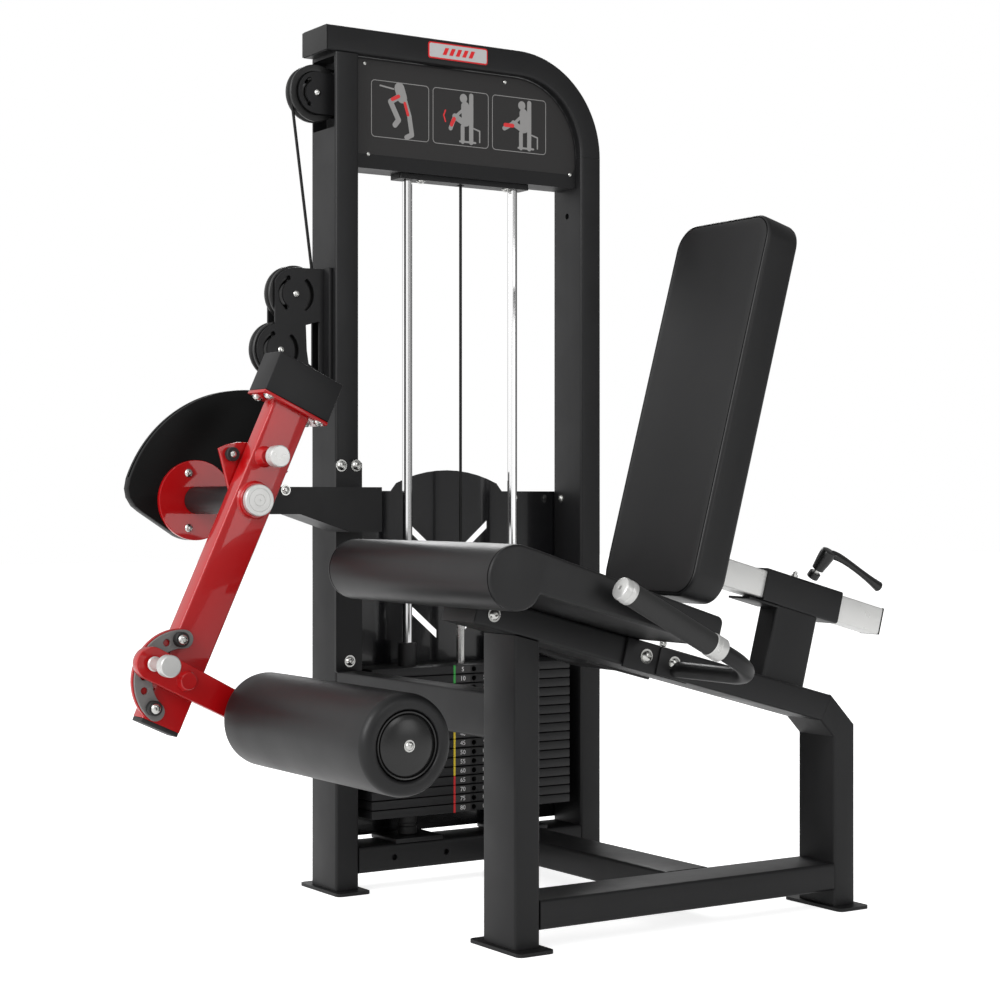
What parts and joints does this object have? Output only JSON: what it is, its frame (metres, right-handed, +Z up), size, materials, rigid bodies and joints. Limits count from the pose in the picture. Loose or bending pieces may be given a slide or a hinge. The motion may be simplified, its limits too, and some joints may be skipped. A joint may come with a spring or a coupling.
{
  "type": "leg extension machine",
  "caption": "Seated leg extension gym machine: weight-stack tower, cam-driven swinging leg arm with padded ankle roller, sloping seat and sliding backrest.",
  "frame": {"origin": "middle of the machine's footprint, on the floor, under its outer box's centre", "axes": "+X from the knees towards the backrest, +Y from the seat towards the weight tower, +Z up"},
  "size_m": [1.3449, 1.017, 1.647],
  "materials": {
    "black_frame": "satin powder coat",
    "red_arm": "gloss powder coat",
    "chrome": "polished chrome",
    "silver": "satin",
    "slider_steel": "satin plated",
    "grey_steel": "satin",
    "weight_plate": "satin black over steel",
    "black_plastic": "moulded",
    "red_plastic": "moulded",
    "rubber": "matt",
    "upholstery": "fine grained coated fabric over foam",
    "cover": "smoked",
    "cable": "sheathed steel cable"
  },
  "bodies": {
    "frame": {"front_upright": "black_frame", "top_arch": "black_frame", "rear_upright": "black_frame", "tower_base_beam": "black_frame", "tower_front_foot": "black_frame", "tower_rear_foot": "black_frame", "seat_front_foot": "black_frame", "seat_rear_foot": "black_frame", "base_link_beam": "black_frame", "knee_link_beam": "black_frame", "seat_front_leg": "black_frame", "seat_rail": "black_frame", "seat_rear_leg": "black_frame", "seat_base_beam": "black_frame", "backrest_post": "black_frame", "slider_sleeve": "black_frame", "display_panel": "black_frame", "rod_top_bracket": "black_frame", "mid_pulley_bracket": "black_frame", "top_pulley_bracket": "black_frame", "stack_pulley_bracket": "black_frame", "pivot_mount_plate": "black_frame", "pivot_bracket": "black_frame", "pivot_housing": "black_frame", "handle_near": "black_frame", "handle_far": "black_frame", "rear_shroud": "cover", "guide_rod_front": "chrome", "guide_rod_rear": "chrome", "stack_bumper_front": "rubber", "stack_bumper_rear": "rubber", "grip_near": "rubber", "grip_far": "rubber", "seat_cushion": "upholstery", "resting_plates": "weight_plate", "lift_cable": "cable", "stack_cable": "cable"},
    "cam": {"cam": "black_frame", "cam_disc": "red_arm", "range_plate": "red_arm", "pivot_shaft": "silver"},
    "leg_arm": {"leg_arm": "red_arm", "counterweight": "black_frame", "ankle_arc_plate": "grey_steel"},
    "range_pin": {"range_pin": "silver"},
    "ankle_lever": {"ankle_lever": "red_arm"},
    "ankle_pin": {"ankle_pin": "silver"},
    "ankle_roller": {"ankle_roller": "upholstery"},
    "weight_stack": {"head_plate": "weight_plate", "lifted_plates": "weight_plate", "selector_stem": "silver"},
    "selector_pin": {"selector_pin": "red_plastic"},
    "top_pulley": {"top_pulley": "black_plastic"},
    "upper_guide_pulley": {"upper_guide_pulley": "black_plastic"},
    "lower_guide_pulley": {"lower_guide_pulley": "black_plastic"},
    "stack_pulley": {"stack_pulley": "black_plastic"},
    "backrest": {"slider_tube": "slider_steel", "backrest_bracket": "black_frame", "backrest_pad": "upholstery"},
    "clamp_lever": {"clamp_lever": "black_plastic"}
  },
  "joints": [
    {"name": "stack_lift", "type": "slide", "parent": "frame", "child": "weight_stack", "axis": [0, 0, 1], "range_m": [0, 0.25], "deforming": ["stack_cable"]},
    {"name": "selector_pull", "type": "slide", "parent": "weight_stack", "child": "selector_pin", "axis": [0, -1, 0], "range_m": [0, 0.08]},
    {"name": "arm_pivot", "type": "hinge", "parent": "frame", "child": "cam", "pos_m": [-0.44232, 0.3805, 0.7465], "axis": [0, 1, 0], "range_deg": [0, 75]},
    {"name": "start_position", "type": "hinge", "parent": "cam", "child": "leg_arm", "pos_m": [-0.44232, 0.3805, 0.7465], "axis": [0, 1, 0], "range_deg": [0, 30]},
    {"name": "range_pin_push", "type": "slide", "parent": "leg_arm", "child": "range_pin", "axis": [0, 1, 0], "range_m": [0, 0.009]},
    {"name": "pad_position", "type": "hinge", "parent": "leg_arm", "child": "ankle_lever", "pos_m": [-0.58272, 0.1605, 0.44124], "axis": [0, 1, 0], "range_deg": [-20, 20]},
    {"name": "ankle_pin_push", "type": "slide", "parent": "ankle_lever", "child": "ankle_pin", "axis": [0, 1, 0], "range_m": [0, 0.0066]},
    {"name": "roller_spin", "type": "hinge", "parent": "ankle_lever", "child": "ankle_roller", "pos_m": [-0.45103, -0.1195, 0.37327], "axis": [0, 1, 0], "continuous": true},
    {"name": "top_pulley_spin", "type": "hinge", "parent": "frame", "child": "top_pulley", "pos_m": [-0.18902, 0.4305, 1.521], "axis": [0, 1, 0], "range_deg": [-300, 0]},
    {"name": "upper_guide_pulley_spin", "type": "hinge", "parent": "frame", "child": "upper_guide_pulley", "pos_m": [-0.23422, 0.4305, 1.1361], "axis": [0, 1, 0], "range_deg": [0, 300]},
    {"name": "lower_guide_pulley_spin", "type": "hinge", "parent": "frame", "child": "lower_guide_pulley", "pos_m": [-0.26662, 0.4305, 1.0296], "axis": [0, 1, 0], "range_deg": [-300, 0]},
    {"name": "stack_pulley_spin", "type": "hinge", "parent": "frame", "child": "stack_pulley", "pos_m": [0.09418, 0.4305, 1.521], "axis": [0, 1, 0], "range_deg": [-300, 0]},
    {"name": "backrest_slide", "type": "slide", "parent": "frame", "child": "backrest", "axis": [0.9659, 0, -0.2588], "range_m": [-0.1, 0.06]},
    {"name": "clamp_turn", "type": "hinge", "parent": "frame", "child": "clamp_lever", "pos_m": [0.48551, -0.2195, 0.59927], "axis": [0.2171, -0.5446, 0.8101], "range_deg": [-60, 60]}
  ],
  "couplings": [
    {"joint": "arm_pivot", "follows": "stack_lift", "rad_per_m": 5.2},
    {"joint": "top_pulley_spin", "follows": "stack_lift", "rad_per_m": -20.833},
    {"joint": "upper_guide_pulley_spin", "follows": "stack_lift", "rad_per_m": 20.833},
    {"joint": "lower_guide_pulley_spin", "follows": "stack_lift", "rad_per_m": -20.833},
    {"joint": "stack_pulley_spin", "follows": "stack_lift", "rad_per_m": -20.833}
  ]
}
